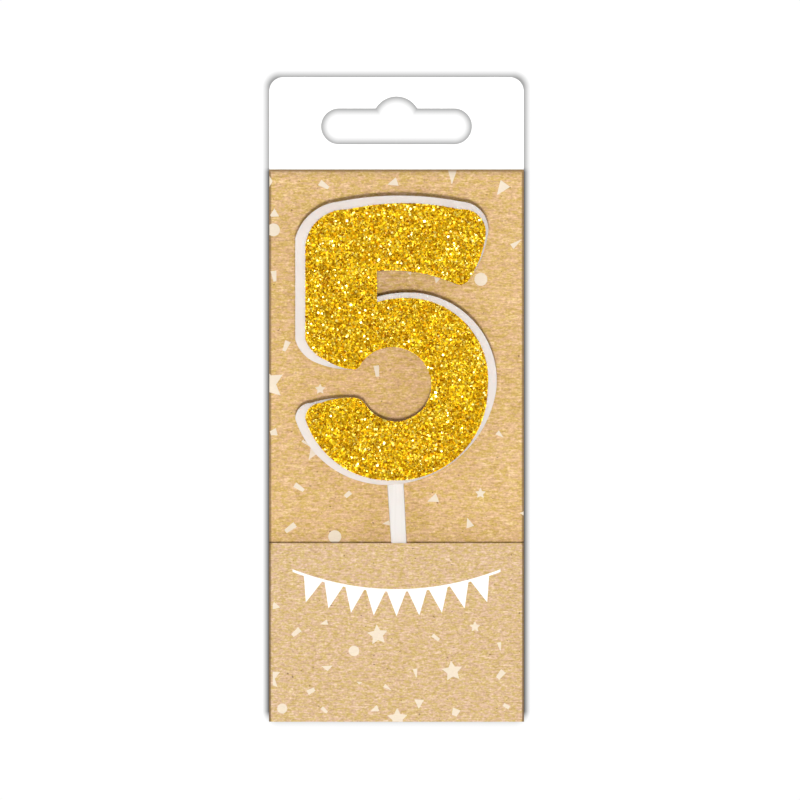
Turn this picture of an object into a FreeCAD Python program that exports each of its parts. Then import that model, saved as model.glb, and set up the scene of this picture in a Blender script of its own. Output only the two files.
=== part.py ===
import FreeCAD, Part
import os
import Sketcher

# Number birthday candle, a gold-faced "5" on a plastic pick, in its hang pack.
# Millimetres, +Z up, the front looks along -Y. The origin is the crown of the hang slot,
# where a peg bears, in the middle of the card's thickness.
# Places are told from the card: "up" from its lower edge and "out" from its middle plane
# towards the front, so out is -Y.

DRIVING_SIZES = [
    ("card_width", 54.0, "hang card, across"),
    ("card_length", 136.6, "hang card, top to bottom"),
    ("card_sheet", 0.5, "hang card, board thickness"),
    ("card_corner", 3.0, "hang card, radius of the top corners"),
    ("slot_drop", 4.1, "card's top edge down to the slot's crown"),
    ("slot_width", 32.0, "hang slot, end to end"),
    ("slot_band", 7.6, "hang slot, height of its straight band"),
    ("crown_radius", 5.08, "hang slot, radius of its raised crown"),
    ("crown_rise", 2.54, "hang slot, crown above the band"),
    ("header", 19.6, "bare white header above the liner"),
    ("kraft_sheet", 0.4, "kraft liner and pocket, board thickness"),
    ("pocket_height", 37.8, "pocket, height of its front panel"),
    ("pocket_room", 5.0, "pocket, free depth inside"),
    ("pocket_fold", 0.8, "pocket, outer radius of its folds"),
    ("flap_width", 6.0, "pocket, width of the turned-in glue flaps"),
    ("glue_sheet", 0.1, "thickness of the glue strips"),
    ("glue_inset", 1.0, "glue strips, inset from the flap's edges"),
    ("pad_width", 10.0, "foam pads, diameter"),
    ("pad_sheet", 2.0, "foam pads, thickness"),
    ("number_rise", 70.4, "centre of the numeral's bowl above the card's lower edge"),
    ("wax_depth", 7.5, "wax, back to front"),
    ("wax_wall", 6.8, "wax, straight edge behind the bevelled rim"),
    ("glitter_coat", 0.3, "glitter coat on the front of the wax"),
    ("bowl_radius", 19.3, "numeral, outer radius of the bowl"),
    ("bowl_stroke", 12.0, "numeral, bowl's stroke"),
    ("counter_rise", 1.0, "numeral, counter's centre above the bowl's"),
    ("counter_tall", 7.8, "numeral, half height of the counter"),
    ("bowl_full", 0.74, "numeral, where the bowl's slants pass, as a share of its two radii"),
    ("stem_width", 15.2, "numeral, width of the stem"),
    ("notch_sink", 0.9, "numeral, notch corner below the bowl's top"),
    ("notch_height", 6.5, "numeral, notch between bowl and arm"),
    ("arm_height", 14.4, "numeral, arm from its underside to its crown"),
    ("arm_reach", 18.8, "numeral, arm's end right of the bowl's centre"),
    ("arm_bow", 1.3, "numeral, crown above the ends of its curve"),
    ("arm_droop", 2.7, "numeral, arm's tip below its underside"),
    ("arm_tip", 3.2, "numeral, half width of the arm's tip"),
    ("arm_corner", 5.4, "numeral, rounding at the upper right"),
    ("shoulder", 9.0, "numeral, rounding at the upper left"),
    ("shoulder_fall", 1.6, "numeral, fall of the crown towards the upper left"),
    ("foot_corner", 4.4, "numeral, rounding at the stem's foot"),
    ("foot_slope", 2.0, "numeral, fall of the foot's underside"),
    ("foot_bow", 0.45, "numeral, bow of the foot's underside"),
    ("mouth_height", 6.0, "numeral, mouth between foot and hook"),
    ("mouth_drop", 1.9, "numeral, mouth's floor below the bowl's centre"),
    ("lip", 1.0, "numeral, rounding of the two lips at the counter"),
    ("hook_corner", 3.4, "numeral, rounding at the hook's tip"),
    ("hook_bow", 0.5, "numeral, bow of the hook's upper edge"),
    ("rim_left", 2.1, "white rim outside the gold, left"),
    ("rim_top", 1.6, "white rim outside the gold, top"),
    ("rim_bowl", 1.8, "white rim outside the gold, right of the bowl"),
    ("rim_arm", 0.4, "white rim outside the gold, right of the arm"),
    ("rim_bottom", 0.9, "white rim outside the gold, bottom"),
    ("rim_floor", 1.1, "white rim outside the gold, floor of the notch"),
    ("rim_low", 0.3, "white rim outside the gold, lower right"),
    ("rim_foot", 0.5, "white rim outside the gold, underside of the foot"),
    ("rim_shoulder", 1.8, "white rim's further fall towards the upper left"),
    ("pick_width", 3.5, "pick, width where it leaves the wax"),
    ("pick_end_width", 2.9, "pick, width where its point starts"),
    ("pick_sheet", 1.8, "pick, thickness"),
    ("pick_back", 0.7, "wax between the pick and the wax's back"),
    ("pick_hold", 11.0, "pick, length held in the wax"),
    ("pick_length", 45.0, "pick, length below the wax"),
    ("pick_point", 7.0, "pick, length of its point"),
    ("pick_blunt", 0.6, "pick, width of its blunt tip"),
    ("pick_lean", 0.058, "pick, sideways shift per millimetre down"),
    ("pick_across", 0.22, "pick, its exit left of the bowl's centre"),
    ("barb", 0.7, "pick, how far each barb stands out"),
    ("barb_pitch", 3.6, "pick, distance from barb to barb"),
    ("wick_width", 1.4, "wick, diameter"),
    ("wick_length", 11.0, "wick, free length from its exit"),
    ("wick_run", 24.0, "wick, length down inside the stem"),
    ("wick_bend", 2.6, "wick, radius of its turn to the back"),
    ("wick_cover", 3.6, "wax above the wick's exit"),
    ("wick_gap", 0.06, "running gap between the wick's two lengths"),
]

doc = FreeCAD.newDocument("number_candle")
sheet = doc.addObject("Spreadsheet::Sheet", "Sizes")


class Size:
    """A length with the sheet expression that drives it."""

    def __init__(self, value, text):
        self.value = value
        self.text = text

    def _with(self, other, sign, result):
        other_text = other.text if isinstance(other, Size) else repr(other)
        return Size(result, "(" + self.text + " " + sign + " " + other_text + ")")

    def __add__(self, other):
        return self._with(other, "+", self.value + number(other))

    def __sub__(self, other):
        return self._with(other, "-", self.value - number(other))

    def __mul__(self, factor):
        return self._with(factor, "*", self.value * number(factor))

    def __truediv__(self, divisor):
        return self._with(divisor, "/", self.value / number(divisor))

    def __neg__(self):
        return Size(-self.value, "(0 - " + self.text + ")")


def number(size):
    return size.value if isinstance(size, Size) else size


def read_sheet():
    """Fill the sheet and return every driving size by its name."""
    sizes = {}
    for row, (name, value, note) in enumerate(DRIVING_SIZES, start=1):
        sheet.set("A%d" % row, name)
        sheet.set("B%d" % row, str(value))
        sheet.setAlias("B%d" % row, name)
        sheet.set("C%d" % row, note)
        sizes[name] = Size(value, "Sizes." + name)
    doc.recompute()
    return sizes


S = read_sheet()
ZERO = S["card_width"] * 0

# Heights, from the crown of the slot.
CARD_TOP = S["slot_drop"]
CARD_FOOT = CARD_TOP - S["card_length"]
LINER_TOP = CARD_TOP - S["header"]
BOWL_UP = CARD_FOOT + S["number_rise"]

# Depths, out from the card's middle plane to the front.
CARD_FACE = S["card_sheet"] / 2
LINER_FACE = CARD_FACE + S["kraft_sheet"]
FLAP_BACK = LINER_FACE + S["glue_sheet"]
FLAP_FACE = FLAP_BACK + S["kraft_sheet"]
PANEL_BACK = LINER_FACE + S["pocket_room"]
PANEL_FACE = PANEL_BACK + S["kraft_sheet"]
WAX_BACK = LINER_FACE + S["pad_sheet"]
WAX_FACE = WAX_BACK + S["wax_depth"]
PICK_BACK = WAX_BACK + S["pick_back"]

HALF_CARD = S["card_width"] / 2


# ---- sketching helpers ----

def bind(thing, prop, size):
    thing.setExpression(prop, size.text)


def start_body(label):
    body = doc.addObject("PartDesign::Body", label)
    body.Label = label
    return body


def start_sketch(body, role, name, offset):
    """A sketch on one of the body's origin planes, moved along the plane's normal."""
    sketch = body.newObject("Sketcher::SketchObject", name)
    plane = [item for item in body.Origin.OriginFeatures if item.Role == role][0]
    sketch.AttachmentSupport = [(plane, "")]
    sketch.MapMode = "FlatFace"
    bind(sketch, ".AttachmentOffset.Base.z", offset)
    return sketch


def pin(sketch, edge, end, point):
    """Tie one end of an edge to its place in the sketch."""
    for kind, place in (("DistanceX", point[0]), ("DistanceY", point[1])):
        rule = sketch.addConstraint(Sketcher.Constraint(kind, -1, 1, edge, end, place.value))
        bind(sketch, "Constraints[%d]" % rule, place)


def vector(point):
    return FreeCAD.Vector(point[0].value, point[1].value, 0)


def draw(sketch, start, runs, closed=True):
    """Draw lines (end,) and arcs (through, end) one after the other from start."""
    first = None
    before = None
    here = start
    for run in runs:
        end = run[-1]
        if len(run) == 1:
            edge = sketch.addGeometry(Part.LineSegment(vector(here), vector(end)))
            head, tail = 1, 2
        else:
            edge = sketch.addGeometry(Part.Arc(vector(here), vector(run[0]), vector(end)))
            turned = sketch.getPoint(edge, 1).distanceToPoint(vector(here)) > 1e-6
            head, tail = (2, 1) if turned else (1, 2)
            via = sketch.addGeometry(Part.Point(vector(run[0])), True)
            pin(sketch, via, 1, run[0])
            sketch.addConstraint(Sketcher.Constraint("PointOnObject", via, 1, edge))
        if before is None:
            first = (edge, head)
            if not closed:
                pin(sketch, edge, head, start)
        else:
            sketch.addConstraint(Sketcher.Constraint("Coincident", before[0], before[1], edge, head))
        if run is runs[-1] and closed:
            sketch.addConstraint(Sketcher.Constraint("Coincident", edge, tail, first[0], first[1]))
        pin(sketch, edge, tail, end)
        before = (edge, tail)
        here = end
    return sketch


def ring(sketch, centre, diameter):
    circle = sketch.addGeometry(Part.Circle(vector(centre), FreeCAD.Vector(0, 0, 1), diameter.value / 2))
    pin(sketch, circle, 3, centre)
    rule = sketch.addConstraint(Sketcher.Constraint("Diameter", circle, diameter.value))
    bind(sketch, "Constraints[%d]" % rule, diameter)


# The middle of a quarter circle, as shares of its corner and of each of its ends.
CORNER_SHARE = 0.4142
END_SHARE = 0.2929
SLANT = 0.7071  # across or up on a circle of 1, halfway round a quarter
STEEP = 0.866  # up on a circle of 1, where across is a half
SLOT_OPEN = 0.9  # least share of the slot's band that the card must open


def round_off(start, corner, end):
    """An arc from start to end that rounds off the corner between them."""
    through = tuple(corner[i] * CORNER_SHARE + (start[i] + end[i]) * END_SHARE for i in (0, 1))
    return (through, end)


def arched(start, end, rise):
    """An arc from start to end whose middle stands above their chord by rise."""
    return (((start[0] + end[0]) / 2, (start[1] + end[1]) / 2 + rise), end)


def box_path(left, low, right, high):
    return (left, low), [((right, low),), ((right, high),), ((left, high),), ((left, low),)]


def pad(body, sketch, name, length):
    feature = body.newObject("PartDesign::Pad", name)
    feature.Profile = sketch
    bind(feature, "Length", length)
    return feature


# ---- the hang pack ----

def make_hang_card():
    """White board with rounded top corners and a hang slot of the usual retail shape."""
    body = start_body("hang_card")
    outline = start_sketch(body, "XZ_Plane", "card_outline", -CARD_FACE)
    corner = S["card_corner"]
    left_low = (-HALF_CARD, CARD_FOOT)
    left_high = (-HALF_CARD, CARD_TOP - corner)
    top_left = (-HALF_CARD + corner, CARD_TOP)
    top_right = (HALF_CARD - corner, CARD_TOP)
    right_high = (HALF_CARD, CARD_TOP - corner)
    draw(outline, left_low, [
        (left_high,),
        round_off(left_high, (-HALF_CARD, CARD_TOP), top_left),
        (top_right,),
        round_off(top_right, (HALF_CARD, CARD_TOP), right_high),
        ((HALF_CARD, CARD_FOOT),),
        (left_low,),
    ])
    pad(body, outline, "card_board", S["card_sheet"])
    doc.recompute()
    whole = body.Shape.Volume

    slot = start_sketch(body, "XZ_Plane", "slot_outline", CARD_FACE)
    end = S["slot_band"] / 2
    band_top = -S["crown_rise"]
    band_mid = band_top - end
    band_low = band_top - S["slot_band"]
    straight = S["slot_width"] / 2 - end
    half_chord = Size(
        (2 * S["crown_radius"].value * S["crown_rise"].value - S["crown_rise"].value ** 2) ** 0.5,
        "sqrt(2 * Sizes.crown_radius * Sizes.crown_rise - Sizes.crown_rise ^ 2)")
    draw(slot, (-straight, band_top), [
        ((-half_chord, band_top),),
        ((ZERO, ZERO), (half_chord, band_top)),
        ((straight, band_top),),
        ((S["slot_width"] / 2, band_mid), (straight, band_low)),
        ((-straight, band_low),),
        ((-S["slot_width"] / 2, band_mid), (-straight, band_top)),
    ])
    cut = body.newObject("PartDesign::Pocket", "slot_cut")
    cut.Profile = slot
    bind(cut, "Length", S["card_sheet"] * 2)
    doc.recompute()
    band_area = S["slot_width"].value * S["slot_band"].value * SLOT_OPEN
    if whole - body.Shape.Volume < band_area * S["card_sheet"].value:
        raise ValueError("the hang slot wasn't cut")
    return body


def make_kraft_liner():
    """Kraft sheet laminated to the card below the white header."""
    body = start_body("kraft_liner")
    outline = start_sketch(body, "XZ_Plane", "liner_outline", CARD_FACE)
    draw(outline, *box_path(-HALF_CARD, CARD_FOOT, HALF_CARD, LINER_TOP))
    pad(body, outline, "liner_board", S["kraft_sheet"])
    return body


def make_kraft_pocket():
    """Folded pocket: front panel, two side walls, turned-in glue flaps and a floor."""
    body = start_body("kraft_pocket")
    wall = S["kraft_sheet"]
    fold = S["pocket_fold"]
    inner = HALF_CARD - wall
    flap = HALF_CARD - S["flap_width"]
    bend = fold - wall

    def mirrored(points):
        return [tuple((-point[0], point[1]) for point in run) for run in points]

    # The section is seen from above, so depths are -Y.
    right_out = [
        ((HALF_CARD, -FLAP_BACK),),
        ((HALF_CARD, -PANEL_FACE + fold),),
        round_off((HALF_CARD, -PANEL_FACE + fold), (HALF_CARD, -PANEL_FACE),
                  (HALF_CARD - fold, -PANEL_FACE)),
    ]
    left_back = mirrored([
        ((HALF_CARD - fold, -PANEL_FACE),),
        round_off((HALF_CARD - fold, -PANEL_FACE), (HALF_CARD, -PANEL_FACE),
                  (HALF_CARD, -PANEL_FACE + fold)),
        ((HALF_CARD, -FLAP_BACK),),
        ((flap, -FLAP_BACK),),
        ((flap, -FLAP_FACE),),
        ((inner, -FLAP_FACE),),
        ((inner, -PANEL_BACK + bend),),
        round_off((inner, -PANEL_BACK + bend), (inner, -PANEL_BACK), (inner - bend, -PANEL_BACK)),
    ])
    right_in = [
        ((inner - bend, -PANEL_BACK),),
        round_off((inner - bend, -PANEL_BACK), (inner, -PANEL_BACK), (inner, -PANEL_BACK + bend)),
        ((inner, -FLAP_FACE),),
        ((flap, -FLAP_FACE),),
        ((flap, -FLAP_BACK),),
    ]
    section = start_sketch(body, "XY_Plane", "pocket_section", CARD_FOOT)
    draw(section, (flap, -FLAP_BACK), right_out + left_back + right_in)
    pad(body, section, "pocket_walls", S["pocket_height"])

    floor = start_sketch(body, "XY_Plane", "pocket_floor_outline", CARD_FOOT)
    draw(floor, *box_path(-inner, -PANEL_BACK, inner, -FLAP_BACK))
    pad(body, floor, "pocket_floor", wall)
    return body


def make_pocket_glue():
    """Two glue strips between the pocket's flaps and the liner."""
    body = start_body("pocket_glue")
    outline = start_sketch(body, "XZ_Plane", "glue_outline", LINER_FACE)
    outer = HALF_CARD - S["glue_inset"]
    inner = HALF_CARD - S["flap_width"] + S["glue_inset"]
    low = CARD_FOOT + S["glue_inset"]
    high = CARD_FOOT + S["pocket_height"] - S["glue_inset"]
    draw(outline, *box_path(inner, low, outer, high))
    draw(outline, *box_path(-outer, low, -inner, high))
    pad(body, outline, "glue_strips", S["glue_sheet"])
    body.AllowCompound = True
    return body


def pad_places():
    """Centres of the foam pads: on the arm, on the stem and on the bowl."""
    ring_middle = S["bowl_radius"] - S["bowl_stroke"] / 2
    arm_up = S["bowl_radius"] - S["notch_sink"] + S["notch_height"] + S["arm_height"] / 2
    stem_across = S["stem_width"] / 2 - S["bowl_radius"]
    return [
        (ring_middle / 2, BOWL_UP + arm_up),
        (stem_across, BOWL_UP + S["bowl_radius"] - S["notch_sink"] - S["bowl_stroke"] / 4),
        (ring_middle / 2, BOWL_UP - ring_middle * STEEP),
    ]


def make_foam_pads():
    """Three round double-sided pads that hold the candle to the liner."""
    body = start_body("foam_pads")
    outline = start_sketch(body, "XZ_Plane", "pad_outlines", LINER_FACE)
    for centre in pad_places():
        ring(outline, centre, S["pad_width"])
    pad(body, outline, "pad_foam", S["pad_sheet"])
    body.AllowCompound = True
    return body


# ---- the candle ----

# Reaches of the small roundings, as shares of the numeral's lip, tip or droop.
FOOT_REACH = 1.5
FOOT_CORNER = 0.8
COUNTER_REACH = 0.3
HOOK_REACH = 1.2
HOOK_IN = 0.7
TIP_BACK = 0.3
TIP_UP = 0.45
DROOP_BOW = 0.4
# Where a barb's tip and its end stand, as shares of the barbs' pitch.
BARB_TIP = 0.4
BARB_END = 0.5


def numeral(sketch, rimmed):
    """Outline of the 5, anticlockwise from the notch. The rimmed one is the back of the wax."""
    rim = {name[4:]: S[name] * rimmed for name in S if name.startswith("rim_")}
    bowl = S["bowl_radius"]
    counter = bowl - S["bowl_stroke"]
    stem_in = S["stem_width"] - bowl
    floor = bowl - S["notch_sink"] + rim["floor"]
    roof = bowl - S["notch_sink"] + S["notch_height"]
    crown = roof + S["arm_height"] + rim["top"]
    arm_end = S["arm_reach"] + rim["arm"]
    left = -bowl - rim["left"]
    right = bowl + rim["bowl"]
    bottom = -bowl - rim["bottom"]
    top = bowl + rim["floor"]
    low = (bowl + rim["low"]) * SLANT
    mouth_low = -S["mouth_drop"]
    mouth_high = mouth_low + S["mouth_height"]
    foot = mouth_high + S["foot_slope"] - rim["foot"]
    lip = S["lip"]
    tip = S["arm_tip"]
    full = S["bowl_full"]

    def at(across, up):
        return (across, BOWL_UP + up)

    roof_corner = at(stem_in, roof)
    tip_left = at(S["arm_reach"] - tip * 2, roof - S["arm_droop"])
    tip_right = at(S["arm_reach"] - tip, roof - S["arm_droop"] / 2)
    arm_right = at(arm_end, roof + S["arm_height"] / 2)
    crown_right = at(arm_end - S["arm_corner"], crown - S["arm_bow"])
    crown_left = at(left + S["shoulder"], crown - S["arm_bow"])
    shoulder = at(left, crown - S["shoulder"])
    foot_left = at(left, mouth_high + S["foot_slope"] + S["foot_corner"])
    foot_low = at(left + S["foot_corner"], foot)
    foot_lip = at(-counter - lip * FOOT_REACH, mouth_high)
    counter_left = at(-counter - lip * COUNTER_REACH, mouth_high + lip)
    counter_right = at(counter, S["counter_rise"])
    hook_in = at(-counter + lip * HOOK_IN, mouth_low - lip * HOOK_REACH)
    hook_lip = at(-counter - lip * HOOK_REACH, mouth_low)
    hook_top = at(left + S["hook_corner"], mouth_low - lip)
    hook_end = at(left, mouth_low - lip - S["hook_corner"])
    bowl_low = at(-lip, bottom)
    bowl_right = at(right, ZERO)
    bowl_high = at(lip * 2, top)
    floor_corner = at(stem_in, floor)
    draw(sketch, roof_corner, [
        arched(roof_corner, tip_left, S["arm_droop"] * DROOP_BOW),
        arched(tip_left, tip_right, -tip / 4),
        round_off(tip_right, at(arm_end - tip * TIP_BACK, roof + tip * TIP_UP), arm_right),
        round_off(arm_right, at(arm_end, crown), crown_right),
        arched(crown_right, crown_left, S["arm_bow"]),
        round_off(crown_left, at(left, crown - S["shoulder_fall"] - rim["shoulder"]), shoulder),
        (foot_left,),
        round_off(foot_left, at(left, foot + S["foot_corner"] / 2), foot_low),
        arched(foot_low, foot_lip, -S["foot_bow"]),
        round_off(foot_lip, at(-counter - lip * FOOT_CORNER, mouth_high), counter_left),
        (at(ZERO, S["counter_rise"] + S["counter_tall"]), counter_right),
        (at(ZERO, S["counter_rise"] - S["counter_tall"]), hook_in),
        round_off(hook_in, at(-counter, mouth_low), hook_lip),
        arched(hook_lip, hook_top, S["hook_bow"]),
        round_off(hook_top, at(left, mouth_low - lip), hook_end),
        (at(left * full, bottom * full), bowl_low),
        (at(low, -low), bowl_right),
        (at(right * full, top * full), bowl_high),
        arched(bowl_high, floor_corner, S["notch_sink"] / 4),
        (roof_corner,),
    ])
    return sketch


def make_wax_blank():
    """The moulded 5: straight sides, then a bevelled rim in to a smaller face."""
    body = start_body("wax_blank")
    back = numeral(start_sketch(body, "XZ_Plane", "wax_back_outline", WAX_BACK), 1)
    pad(body, back, "wax_edge", S["wax_wall"])
    shoulder = numeral(start_sketch(body, "XZ_Plane", "wax_wall_outline", WAX_BACK + S["wax_wall"]), 1)
    face = numeral(start_sketch(body, "XZ_Plane", "wax_face_outline", WAX_FACE), 0)
    bevel = body.newObject("PartDesign::AdditiveLoft", "wax_bevel")
    bevel.Profile = shoulder
    bevel.Sections = [face]
    bevel.Ruled = True
    return body


def make_glitter_face():
    """Glitter coat over the whole front face."""
    body = start_body("glitter_face")
    outline = numeral(start_sketch(body, "XZ_Plane", "glitter_outline", WAX_FACE), 0)
    pad(body, outline, "glitter_coat", S["glitter_coat"])
    return body


def make_pick():
    """Flat leaning pick with a point below and barbs in the wax."""
    body = start_body("pick")
    outline = start_sketch(body, "XZ_Plane", "pick_outline", PICK_BACK)
    exit_up = BOWL_UP - S["bowl_radius"] - S["rim_bottom"]
    half_exit = S["pick_width"] / 2
    half_end = S["pick_end_width"] / 2
    half_tip = S["pick_blunt"] / 2
    point_drop = S["pick_length"] - S["pick_point"]

    def at(side, half, drop):
        return (half * side + S["pick_lean"] * drop - S["pick_across"], exit_up - drop)

    def flank(side):
        steps = [at(side, half_tip, S["pick_length"]), at(side, half_end, point_drop)]
        steps.append(at(side, half_exit, S["barb_pitch"] / 4))
        for tooth in range(2):
            low = S["barb_pitch"] * (tooth + BARB_END)
            steps.append(at(side, half_exit, -low))
            steps.append(at(side, half_exit + S["barb"], -low - S["barb_pitch"] * BARB_TIP))
            steps.append(at(side, half_exit, -low - S["barb_pitch"] * BARB_END))
        steps.append(at(side, half_exit, -S["pick_hold"]))
        return steps

    left = flank(-1)
    right = flank(1)
    path = left + right[::-1]
    draw(outline, path[0], [(place,) for place in path[1:]] + [(path[0],)])
    pad(body, outline, "pick_sheet", S["pick_sheet"])
    return body


WICK_ACROSS = S["stem_width"] / 2 - S["bowl_radius"]
WICK_UP = (BOWL_UP + S["bowl_radius"] - S["notch_sink"] + S["notch_height"] + S["arm_height"]
           + S["rim_top"] - S["wick_cover"])
WICK_MIDDLE = WAX_BACK + S["wax_depth"] / 2


def make_wick_core():
    """Wick inside the stem: straight up, then a bend to its exit in the back of the wax."""
    body = start_body("wick_core")
    bend = S["wick_bend"]
    low = WICK_UP - S["wick_run"]
    spine = start_sketch(body, "YZ_Plane", "wick_line", WICK_ACROSS)
    bend_low = (-WICK_MIDDLE, WICK_UP - bend)
    bend_high = (-WICK_MIDDLE + bend, WICK_UP)
    draw(spine, (-WICK_MIDDLE, low), [
        (bend_low,),
        round_off(bend_low, (-WICK_MIDDLE, WICK_UP), bend_high),
        ((-WAX_BACK, WICK_UP),),
    ], closed=False)
    profile = start_sketch(body, "XY_Plane", "wick_section", low)
    ring(profile, (WICK_ACROSS, -WICK_MIDDLE), S["wick_width"])
    pipe = body.newObject("PartDesign::AdditivePipe", "wick_braid")
    pipe.Profile = profile
    pipe.Spine = spine
    return body


def make_wick_tip():
    """Free end of the wick, hanging down behind the stem from its exit."""
    middle = LINER_FACE + S["pad_sheet"] / 2
    root = doc.addObject("Part::Cylinder", "wick_root")
    bind(root, "Radius", S["wick_width"] / 2)
    bind(root, "Height", WAX_BACK - S["wick_gap"] - middle)
    root.Placement.Rotation = FreeCAD.Rotation(FreeCAD.Vector(1, 0, 0), -90)
    bind(root, ".Placement.Base.y", -WAX_BACK + S["wick_gap"])
    hang = doc.addObject("Part::Cylinder", "wick_hang")
    bind(hang, "Radius", S["wick_width"] / 2)
    bind(hang, "Height", S["wick_length"])
    bind(hang, ".Placement.Base.y", -middle)
    knee = doc.addObject("Part::Sphere", "wick_knee")
    bind(knee, "Radius", S["wick_width"] / 2)
    bind(knee, ".Placement.Base.y", -middle)
    for piece, up in ((root, WICK_UP), (hang, WICK_UP - S["wick_length"]), (knee, WICK_UP)):
        bind(piece, ".Placement.Base.x", WICK_ACROSS)
        bind(piece, ".Placement.Base.z", up)
    tip = doc.addObject("Part::MultiFuse", "wick_tip")
    tip.Shapes = [root, knee, hang]
    tip.Refine = True
    return tip


def cut_out(name, base, tool):
    cut = doc.addObject("Part::Cut", name)
    cut.Base = base
    cut.Tool = tool
    cut.Refine = False
    return cut


# ---- the model ----

nodes = [make_hang_card(), make_kraft_liner(), make_kraft_pocket(), make_pocket_glue(), make_foam_pads()]
blank = make_wax_blank()
pick = make_pick()
wick_core = make_wick_core()
# The wax is cast round the pick and the wick, so it holds their exact shapes.
wax = cut_out("wax_body", cut_out("wax_round_pick", blank, pick), wick_core)
nodes += [wax, make_glitter_face(), pick, wick_core, make_wick_tip()]
doc.recompute()

for item in doc.Objects:
    if "Invalid" in item.State or "Error" in item.State:
        raise ValueError("failed feature: " + item.Label)
if not wax.Shape.Volume < blank.Shape.Volume - S["pick_hold"].value:
    raise ValueError("the pick and the wick weren't cut out of the wax")

os.makedirs("parts", exist_ok=True)
for node in nodes:
    shape = node.Shape
    if shape.isNull() or not shape.isValid():
        raise ValueError("bad shape: " + node.Label)
    print("%-14s solids %d  volume %9.3f" % (node.Label, len(shape.Solids), shape.Volume))
for node in nodes:
    node.Shape.exportStep("parts/" + node.Label + ".step")
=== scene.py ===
import math
import bpy
import bmesh
import numpy as np
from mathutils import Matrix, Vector
from mathutils.geometry import delaunay_2d_cdt


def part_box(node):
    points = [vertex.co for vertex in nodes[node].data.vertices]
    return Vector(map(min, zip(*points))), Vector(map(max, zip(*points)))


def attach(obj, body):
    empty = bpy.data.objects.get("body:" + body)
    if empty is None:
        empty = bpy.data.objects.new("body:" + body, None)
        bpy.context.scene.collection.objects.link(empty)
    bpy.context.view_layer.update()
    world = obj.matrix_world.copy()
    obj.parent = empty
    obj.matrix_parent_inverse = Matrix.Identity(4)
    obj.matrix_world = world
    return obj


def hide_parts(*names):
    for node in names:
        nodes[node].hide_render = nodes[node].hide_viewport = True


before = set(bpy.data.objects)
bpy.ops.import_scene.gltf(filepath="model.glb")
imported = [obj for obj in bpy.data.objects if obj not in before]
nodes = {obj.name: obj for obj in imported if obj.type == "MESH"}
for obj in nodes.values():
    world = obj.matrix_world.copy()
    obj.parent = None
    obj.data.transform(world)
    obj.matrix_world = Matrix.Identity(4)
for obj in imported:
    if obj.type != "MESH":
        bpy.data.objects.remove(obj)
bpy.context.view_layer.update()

mm = 0.001

# Fixed places, read from the frame. Fronts look along -Y.
cardLow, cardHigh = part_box("hang_card")
linerLow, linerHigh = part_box("kraft_liner")
pocketLow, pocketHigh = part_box("kraft_pocket")
waxLow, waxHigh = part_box("wax_body")
pickLow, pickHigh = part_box("pick")
wickLow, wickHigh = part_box("wick_tip")
cardFoot = cardLow.z

print("stage: frame loaded")


# Meshes from arrays.

def piece(name, points, faces, smooth=True):
    # A mesh object in the row's frame, its place in its points.
    mesh = bpy.data.meshes.new(name)
    mesh.from_pydata(np.asarray(points).tolist(), [], [list(face) for face in faces])
    mesh.validate()
    mesh.polygons.foreach_set("use_smooth", [smooth] * len(mesh.polygons))
    mesh.update()
    obj = bpy.data.objects.new(name, mesh)
    bpy.context.scene.collection.objects.link(obj)
    return obj


def gridFaces(rows, columns):
    # Quads of a grid whose columns close on themselves, point (r, c) being number r * columns + c.
    r, c = np.meshgrid(np.arange(rows - 1), np.arange(columns), indexing="ij")
    n = (c + 1) % columns
    here, above = r * columns, (r + 1) * columns
    return np.stack([here + c, here + n, above + n, above + c], axis=-1).reshape(-1, 4).tolist()


def endFaces(rows, columns):
    # The two many-sided faces that close the first and the last row of such a grid.
    last = (rows - 1) * columns
    return [list(range(columns)), list(range(last, last + columns))[::-1]]


def standing(flat, depth):
    # Flat (x, z) places stood up at one depth, or each at its own.
    return np.column_stack([flat[:, 0], np.broadcast_to(depth, len(flat)), flat[:, 1]])


def closeUp(obj, mergeWithin=0.0):
    # Merge doubles, cut the caps into triangles and turn every face outwards.
    bm = bmesh.new()
    bm.from_mesh(obj.data)
    if mergeWithin:
        bmesh.ops.remove_doubles(bm, verts=bm.verts, dist=mergeWithin)
    bmesh.ops.triangulate(bm, faces=[f for f in bm.faces if len(f.verts) > 4])
    bmesh.ops.recalc_face_normals(bm, faces=bm.faces)
    bm.to_mesh(obj.data)
    bm.free()
    return obj


def sharpBy(obj, degrees):
    # Smooth shading with every edge sharper than this angle left crisp.
    bpy.context.view_layer.objects.active = obj
    obj.select_set(True)
    bpy.ops.object.shade_smooth_by_angle(angle=math.radians(degrees), keep_sharp_edges=True)
    obj.select_set(False)
    return obj


# Material helpers.

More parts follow.
